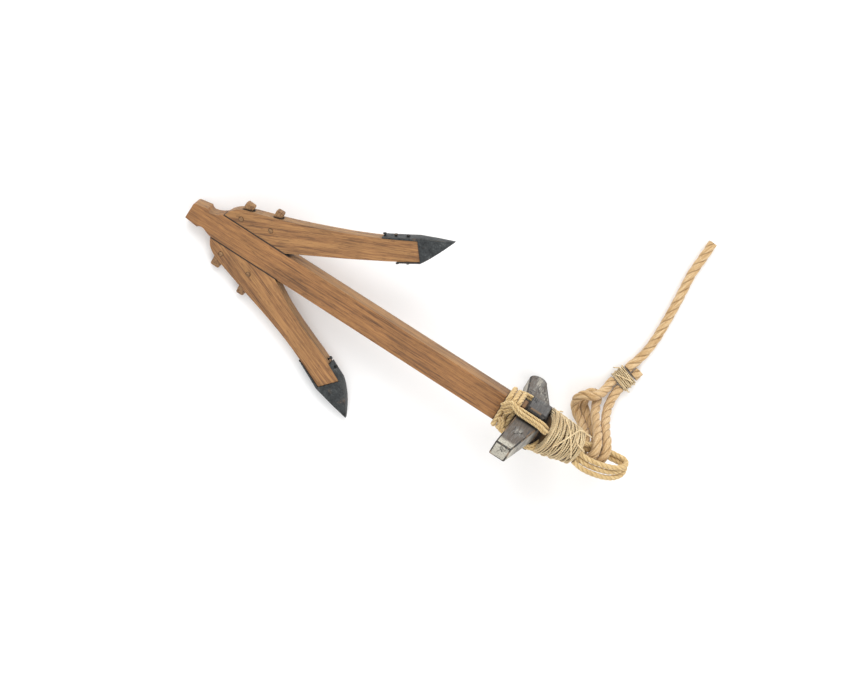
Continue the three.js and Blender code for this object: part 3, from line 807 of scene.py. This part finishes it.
@dataclass
class Timbers:
    """The shank, arms, keys and pins, hewn and planed from hardwood."""

    edge_mm: float = 0.9
    key_edge_mm: float = 0.6
    pin_edge_mm: float = 0.3
    arm_angles: tuple[tuple[str, float], ...] = (("upper", 26.4), ("lower", -23.6))

    def grain_along(self, degrees: float) -> Axes:
        """Returns the axes of a grain that runs at an angle to the shank, in the plane of the arms."""
        turn = math.radians(degrees)
        along = ANCHOR.direction(math.cos(turn), math.sin(turn), 0.0)
        across = ANCHOR.direction(-math.sin(turn), math.cos(turn), 0.0)
        return along, across, ANCHOR.square

    def build(self) -> None:
        """Makes every wooden piece."""
        shank = OiledHardwood("oiled_hardwood_shank", *self.grain_along(0.0))
        settle(eased_copy("shank", "shank_hewn", self.edge_mm), Body.ANCHOR, "shank_wood", shank.material(), "shank")
        for side, angle in self.arm_angles:
            axes = self.grain_along(angle)
            wood = OiledHardwood(f"oiled_hardwood_arm_{side}", *axes, mid="#94673D", light="#B28350")
            arm = eased_copy(f"arm_{side}", f"arm_{side}_hewn", self.edge_mm)
            settle(arm, Body.ANCHOR, "arm_wood", wood.material(), f"arm_{side}")
        axes = (ANCHOR.square, ANCHOR.along, ANCHOR.across)
        material = OiledHardwood(
            "split_hardwood_keys", *axes, dark="#4A2E1B", mid="#8A6440", light="#AC8558",
            side_highlight_share=0.2, joint_share=0.0,
        ).material()
        pins = [(f"lock_pin_{side}", "turned", self.pin_edge_mm) for side in SIDES]
        for kind, made, edge_mm in [("crown_key", "cut", self.key_edge_mm), *pins]:
            for node in (f"{kind}_1", f"{kind}_2"):
                settle(eased_copy(node, f"{node}_{made}", edge_mm), Body.ANCHOR, "key_wood", material, node)


@dataclass
class Shoes:
    """The forged shoes on the arms' tips and the nails that hold their straps."""

    edge_mm: float = 0.5
    sharper_than: float = 18.0
    nail_edge_mm: float = 0.45
    nails: int = 5

    def build(self) -> None:
        """Makes both shoes and their nails."""
        iron = ForgedIron("forged_iron_shoe").material()
        nail_iron = ForgedIron(
            "forged_iron_nail", scale_dark="#1E1D1D", scale_light="#3E3C3B", rust="#4E3D2E", dimple_mm=3.0
        ).material()
        for side in SIDES:
            shoe = eased_copy(f"shoe_{side}", f"shoe_{side}_forged", self.edge_mm, self.sharper_than)
            settle(shoe, Body.ANCHOR, "shoe_iron", iron, f"shoe_{side}")
            for number in range(1, self.nails + 1):
                node = f"shoe_nail_{side}_{number}"
                nail = eased_copy(node, f"{node}_head", self.nail_edge_mm)
                settle(nail, Body.ANCHOR, "nail_iron", nail_iron, node)


@dataclass
class Stock:
    """The stock, cast round the shank: a box with two arms that taper to blunt ends."""

    edge_mm: float = 1.5

    def build(self) -> None:
        """Makes the stock."""
        lead = CastLead("cast_lead_stock").material()
        settle(eased_copy("stock", "stock_cast", self.edge_mm), Body.ANCHOR, "stock_metal", lead, "stock")


# ---- strop ----
@dataclass
class Seizing:
    """Twine wound closely round a bundle, over a core that fills it.

    Attributes:
        name: the piece's name.
        start: the middle of the end where the twine begins, in millimetres, as is every size here but the steps.
        end: the middle of the other end.
        start_half: half the width and half the height at the start.
        end_half: the same at the end.
        turns: how many times the twine goes round.
        twine_mm: the twine's thickness.
        corners: how square the section is, from 0 for an oval.
        unevenness: how far the twine wanders.
        strays: crossing strands and loose ends, each with its points and its thickness; a point is the share
            along the bundle, the angle round it in degrees and the height over its skin.
        lead_turns: how many turns the twine makes over each end of the bundle.
        slanting: how far the turns lean against each other.
        over_turns: how many turns the second, looser layer makes.
        groove: how far the twine's grooves go in, as a share of its radius.
        step: the distance between the twine's rings, in metres.
        stray_step: the same for the strays.
    """

    name: str
    start: Point
    end: Point
    start_half: tuple[float, float]
    end_half: tuple[float, float]
    turns: float
    twine_mm: float
    corners: float = 0.0
    unevenness: float = 0.5
    strays: Strays = ()
    lead_turns: float = 0.0
    slanting: float = 0.0
    over_turns: float = 3.0
    groove: float = 0.22
    step: float = 0.0022
    stray_step: float = 0.0016

    def axes(self) -> Axes:
        """Returns the directions along, across and up the bundle."""
        along = (Vector(self.end) - Vector(self.start)).normalized()
        across = Vector((0.0, 0.0, 1.0)).cross(along).normalized()
        return along, across, along.cross(across)

    def surface(self, share: float, angle: float, inset: float) -> Vector:
        """Returns a point of the bundle's skin.

        Args:
            share: how far along it is, from 0 to 1.
            angle: how far round it is, in radians.
            inset: how deep under the skin it is, in millimetres.

        Returns:
            The point, in metres.
        """
        _, across, up = self.axes()
        middle = Vector(self.start).lerp(Vector(self.end), share)
        wide = self.start_half[0] + (self.end_half[0] - self.start_half[0]) * share - inset
        high = self.start_half[1] + (self.end_half[1] - self.start_half[1]) * share - inset
        square = 1.0 + self.corners * (abs(math.sin(2 * angle)) ** 2) * 0.16
        return (middle + across * math.cos(angle) * wide * square + up * math.sin(angle) * high * square) * MM

    def core(self) -> Piece:
        """Makes the core, whose darkened hemp is the painted shade between the turns.

        Returns:
            The core's object.
        """
        rings, sides = 10, 28
        mesh, places = sleeve(rings, sides, 0.04)
        for vert, (ring, side) in places.items():
            share = 0.02 + 0.96 * ring / rings
            vert.co = self.surface(share, 2 * math.pi * side / sides, self.twine_mm * 0.85)
        bmesh.ops.remove_doubles(mesh, verts=mesh.verts, dist=1e-7)
        bmesh.ops.holes_fill(mesh, edges=[e for e in mesh.edges if e.is_boundary], sides=0)
        bmesh.ops.recalc_face_normals(mesh, faces=mesh.faces)
        return new_object(f"{self.name}_core", mesh, smooth=True)

    def helix(self, turns: float, lead: float, rise: float, stray: float, seed: float) -> list[Vector]:
        """Returns a twine's route: turns that slant, wander and bunch, with a spiral over each end.

        Args:
            turns: how many times it goes round.
            lead: how many more turns it makes over each end.
            rise: how far it lies over the bundle's skin, in millimetres.
            stray: how much more than the bundle's unevenness it wanders.
            seed: what makes its wandering its own.

        Returns:
            The route, in metres.
        """
        points, per_turn = [], 22
        for i in range(round((turns + 2 * lead) * per_turn) + 1):
            turn = i / per_turn - lead
            share, angle = min(max(0.0, turn / turns), 1.0), 2 * math.pi * turn
            slant = noise.noise(Vector((math.floor(turn) * 3.7, 1.5, seed + 0.5))) * math.cos(angle)
            slant += noise.noise(Vector((math.floor(turn + 0.5) * 2.9, 7.5, seed + 0.5))) * math.sin(angle) * 0.5
            round_it = Vector((share * turns * 0.9, math.cos(angle) * 1.1, math.sin(angle) * 1.1 + seed))
            lift = noise.noise(Vector((5.0 + share * turns, math.cos(angle), math.sin(angle) * 1.4 + seed)))
            wander = (noise.noise(round_it) + slant * self.slanting) * self.unevenness * stray
            along = share + wander * MM / max(self.length(), 1e-6)
            inset = self.twine_mm / 2 + 0.1 - rise - lift * self.unevenness * 0.7
            inset += max(0.0, -turn, turn - turns) * self.twine_mm * 0.95
            points.append(self.surface(min(max(along, 0.02), 0.98), angle, inset))
        return points

    def length(self) -> float:
        """Returns the bundle's length, in metres."""
        return (Vector(self.end) - Vector(self.start)).length * MM

    def build(self, body: Body, slot: str, finish: LaidHemp, *nodes: str) -> list[Piece]:
        """Makes the core, the twine, its looser second layer and the strands that stand proud of it.

        Args:
            body: the body that they move with.
            slot: the record's material slot.
            finish: the twine's finish.
            *nodes: the CAD nodes that the twine stands for.

        Returns:
            All the pieces.
        """
        over = self.helix(self.over_turns, 0.0, self.twine_mm * 0.55, 1.7, 31.0)
        strands = [
            (self.name, self.helix(self.turns, self.lead_turns, 0.0, 1.0, 0.0), self.twine_mm, self.step),
            (f"{self.name}_over", over, self.twine_mm * 0.8, self.step),
        ]
        for number, (places, size) in enumerate(self.strays, 1):
            route = [self.surface(share, math.radians(degrees), -rise) for share, degrees, rise in places]
            strands.append((f"{self.name}_stray_{number}", route, size, self.stray_step))
        material, pieces = finish.material(), [self.core()]
        settle(pieces[0], body, slot, CORE_IN_PAINTED_SHADE.material())
        for name, route, thick_mm, step in strands:
            rope = LaidRope(name, route, thick_mm * MM, finish, step=step, per_strand=5, depth=self.groove)
            pieces.append(rope.build())
            settle(pieces[-1], body, slot, material, *(nodes if name == self.name else ()))
        return pieces


STROP_STRAYS: Strays = (
    (((0.3, 28, 0.2), (0.42, 52, 0.7), (0.56, 78, 0.8), (0.72, 104, 0.7), (0.86, 128, 0.1)), 2.2),
    (((0.22, 118, 0.2), (0.34, 96, 0.8), (0.5, 72, 0.9), (0.66, 50, 0.6), (0.82, 24, 0.1)), 2),
    (((0.7, 66, 0.2), (0.8, 80, 1.2), (0.9, 84, 2.4), (1.04, 90, 3.2)), 1.8),
    (((0.76, 36, 0.2), (0.88, 30, 1.4), (1.02, 36, 2.4), (1.14, 34, 2.2)), 1.6),
    (((0.1, 20, 0.1), (0.16, 6, 1), (0.26, -4, 2.2), (0.32, -12, 3.2)), 1.6),
)
BAND_STRAYS: Strays = (
    (((0.16, 40, 0.2), (0.36, 66, 0.9), (0.6, 96, 0.9), (0.84, 128, 0.3)), 1.5),
    (((0.78, 50, 0.2), (0.7, 24, 1.4), (0.52, 4, 2.4), (0.42, -6, 4)), 1.4),
    (((0.2, 150, 0.1), (0.14, 172, 1.2), (0.22, 184, 3.2)), 1.4),
)


@dataclass
class Strop:
    """The rope strop: a collar of turns round the shank, legs past the stock, a seizing and the eye's bights."""

    cord_mm: float = 5.6
    turn_mm: float = 5.5
    leg_mm: float = 3.5
    pair_mm: float = 3.1
    turns_at: tuple[float, ...] = (371.6, 377.1, 382.6)
    turn_half: tuple[float, float] = (18.5, 11.3)
    leg_near: tuple[Point, ...] = (
        (374.6, 3.2, 17.1), (378.5, 8.4, 17.3), (380.2, 13.8, 17.6), (386.6, 15, 17.6), (396, 15, 17.5),
        (406, 14.9, 17.5), (413, 14.8, 17.5), (417.2, 12.2, 14.6), (421, 7, 7),
    )
    leg_far: tuple[Point, ...] = (
        (369.5, 8, 17.1), (373.4, 13.4, 18.8), (377, 18.6, 22), (382, 18, 24.2), (387, 15.6, 24.4),
        (396, 15, 24.2), (406, 14.9, 24.1), (412.8, 14.4, 24), (417, 12, 21.8), (421, 10, 18.4),
    )
    legs: tuple[tuple[str, str, int, int], ...] = (
        ("strop_leg_top_1", "near", 1, 1), ("strop_leg_top_2", "far", 1, 1), ("strop_leg_top_3", "near", -1, 1),
        ("strop_leg_under_1", "near", 1, -1), ("strop_leg_under_2", "near", -1, -1),
        ("strop_leg_under_3", "far", -1, -1),
    )
    eye: tuple[tuple[Point, ...], ...] = (
        (
            (247.1, -4.8, 78.5), (250.7, -5.2, 78.7), (260, -5.8, 79), (272.1, -4, 77.3),
            (283.7, -0.9, 74.2), (292, 2.6, 70.8), (297.4, 6.5, 66.7), (299.7, 10.3, 62),
            (298.9, 12.7, 58), (295.1, 13.8, 55.9), (288.8, 13.1, 55.2), (281.1, 12.3, 56.4),
            (271.6, 10.8, 59.5), (261.1, 8.5, 63.2), (253.5, 6, 66.9), (245.8, 3, 70.2),
        ),
        (
            (246.8, -10, 75.6), (250.5, -10.6, 76), (260, -11.4, 76.9), (272, -9.8, 75.6),
            (284.6, -6.4, 72), (292.6, -2.6, 67.8), (297.6, 1.9, 62.8), (298.9, 6.2, 57.5),
            (295.6, 8.2, 53.8), (288.8, 7.6, 52.8), (281.3, 6.8, 53.9), (271.8, 5.4, 56.9),
            (261.3, 3.1, 60.6), (253.6, 0.6, 64.2), (244.4, -3.2, 68.6),
        ),
        (
            (248.6, -15.3, 79.3), (251.9, -16.1, 79.1), (260, -17.1, 78.6), (272.2, -15.8, 76.4),
            (285.6, -12.4, 71.9), (295.6, -7.5, 66), (301.6, -1.5, 59.4), (303.2, 4.7, 53.5),
            (300.7, 9.7, 50.4), (296, 12.2, 49), (286.9, 12.3, 49.4), (279.2, 11.4, 50.6),
            (269.6, 10, 53.7), (259.1, 7.8, 57.6), (251.5, 5.2, 61.1), (243.6, 2.2, 64.9),
        ),
    )
    seizing: Seizing = field(
        default_factory=lambda: Seizing(
            "strop_seizing_twine", (203.4, -5.3, 85.2), (244.1, -2.3, 74.0), (24.2, 24.2), (18.4, 17.0),
            turns=15.0, twine_mm=2.2, unevenness=1.4, strays=STROP_STRAYS,
            lead_turns=3.0, slanting=2.0, over_turns=8.0,
        )
    )

    def beside(self, points: tuple[Point, ...], shift: float) -> list[Point]:
        """Moves a leg's route sideways, square to its run as seen from the anchor's broad side.

        Args:
            points: the route, in the anchor's millimetres.
            shift: how far it moves, in millimetres.

        Returns:
            The moved route.
        """
        moved = []
        for i, (x, y, z) in enumerate(points):
            before, after = points[max(i - 1, 0)], points[min(i + 1, len(points) - 1)]
            run = Vector((after[0] - before[0], after[1] - before[1])).normalized()
            moved.append((x - run.y * shift, y + run.x * shift, z))
        return moved

    def collar_loop(self, x: float) -> list[Vector]:
        """Returns one turn's route round the shank: a rounded box through the middle of the cord."""
        half_y, half_z = self.turn_half
        bend, points = 3.4, []
        for corner, (side_y, side_z) in enumerate(((1, 1), (-1, 1), (-1, -1), (1, -1))):
            for k in range(4):
                angle = math.radians(90 * corner + 30 * k)
                y = side_y * (half_y - bend) + bend * math.cos(angle)
                z = side_z * (half_z - bend) + bend * math.sin(angle)
                points.append(ANCHOR.point(x, y, z))
        return points

    def build(self) -> None:
        """Makes the whole strop."""
        hemp, legs_hemp = STROP_HEMP.material(), LEG_HEMP.material()
        held = []
        for number, x in enumerate(self.turns_at, 1):
            route = self.collar_loop(x)
            turn = LaidRope(
                f"strop_turn_{number}_laid", route, self.turn_mm * MM, STROP_HEMP,
                step=0.0012, per_strand=6, closed=True, first_normal=ANCHOR.along,
            ).build()
            settle(turn, Body.ANCHOR, "strop_rope", hemp, f"strop_turn_{number}")
            held.append(turn)
        for name, which, side_y, side_z in self.legs:
            points = self.leg_near if which == "near" else self.leg_far
            for number, shift in enumerate((-self.pair_mm / 2, self.pair_mm / 2), 1):
                route = [ANCHOR.point(x, y * side_y, z * side_z) for x, y, z in self.beside(points, shift)]
                leg = LaidRope(
                    f"{name}_cord_{number}", route, self.leg_mm * MM, LEG_HEMP, step=0.0011, per_strand=6
                ).build()
                settle(leg, Body.ANCHOR, "strop_rope", legs_hemp, *([name] if number == 1 else []))
                held.append(leg)
        held += self.seizing.build(Body.ANCHOR, "twine", SEIZING_TWINE, "strop_seizing")
        for number, points in enumerate(self.eye, 1):
            rope = LaidRope(
                f"strop_eye_{number}_laid", metres(points), self.cord_mm * MM, STROP_HEMP, step=0.0012, per_strand=7
            )
            bight = rope.build()
            settle(bight, Body.ANCHOR, "strop_rope", hemp, f"strop_eye_{number}")


# ---- cable ----
@dataclass
class Cable:
    """The cable: its bend through the eye, the twine band, the short tail and the free part on the ground."""

    rope_mm: float = 9.8
    bend: tuple[Point, ...] = (
        (253.2, 76.5, 5.4), (251.9, 71, 7.4), (250.4, 64.9, 12), (246.8, 57.1, 20), (240.5, 50.6, 26.5),
        (232.8, 47.3, 26), (229.4, 42.3, 22), (230.3, 36.2, 16), (236.2, 28.7, 14), (245.2, 22, 22),
        (251.4, 15.6, 36), (254, 9, 47), (255.3, 2.8, 50.4), (257.6, -2.8, 53.2), (261.6, -5.6, 61.1),
        (264, -1.5, 69), (263.5, 7.2, 72.2), (260.2, 15.8, 68.2), (258.3, 21.4, 59), (255.6, 27.6, 46),
        (251.6, 36, 31), (249.4, 45, 18.6), (247.4, 53, 10.6), (241.6, 54.4, 6.4), (237.8, 47, 6.2),
        (240.4, 38.6, 8.6), (247.4, 31.6, 15), (255, 25.4, 28), (260.6, 18.8, 41), (263.6, 14, 45.4),
        (265.4, 7.6, 45.9), (268.6, -0.4, 49.1), (272.5, -3.2, 57), (274.8, 1, 65), (274.4, 9.6, 68.2),
        (271, 18.2, 64.1), (267, 25.9, 52), (263.6, 36.6, 34), (261.4, 49.3, 18.4), (261.7, 63.6, 9),
        (263.3, 73.1, 5.6),
    )
    tail: tuple[Point, ...] = ((269.2, 90.1, 5.4), (270.4, 94, 5.3), (271.6, 98.6, 5.2))
    free: tuple[Point, ...] = (
        (259.2, 93.6, 5.4), (260.6, 98.6, 5.2), (262.8, 105, 5.1), (266, 118, 5.1), (267.4, 135, 5.1),
        (267, 152, 5.1), (266, 170, 5.1), (264.2, 191, 5.1), (262.4, 208.6, 5.1), (262.5, 221.4, 5.1),
        (263.1, 234.4, 5.1), (263.5, 250.4, 5.1),
    )
    band: Seizing = field(
        default_factory=lambda: Seizing(
            "cable_band_twine", (258.9, 76.6, 6.5), (263.7, 90.4, 6.5), (11.6, 6.2), (11.6, 6.2),
            turns=8.0, twine_mm=1.7, corners=0.6, unevenness=0.45, strays=BAND_STRAYS,
        )
    )

    def build(self) -> None:
        """Makes the whole cable."""
        hemp = CABLE_HEMP.material()
        thick = self.rope_mm * MM
        bend = LaidRope(
            "cable_bend_laid", metres(self.bend), thick, CABLE_HEMP, step=0.0015, per_strand=10
        ).build()
        settle(bend, Body.CABLE, "cable_rope", hemp, "cable_bend")
        tail = LaidRope(
            "cable_tail_laid", metres(self.tail), thick, CABLE_HEMP, step=0.001, per_strand=10, end_swell=0.04
        ).build()
        settle(tail, Body.CABLE, "cable_rope", hemp, "cable_tail")
        twine = self.band.build(Body.CABLE, "twine", SEIZING_TWINE, "cable_band")
        free_rope = LaidRope("cable_laid", metres(self.free), thick, CABLE_HEMP, step=0.0014, per_strand=12)
        free = free_rope.build()
        settle(free, Body.CABLE, "cable_rope", hemp, "cable")


def main() -> None:
    """Builds the scene in order: studio, cable, strop, timbers, shoes and stock."""
    logging.basicConfig(level=logging.INFO, format="%(name)s: %(message)s")
    for part in (Studio(), Cable(), Strop(), Timbers(), Shoes(), Stock()):
        part.build()
        LOG.info("%s is built", type(part).__name__)


if __name__ == "__main__":
    main()
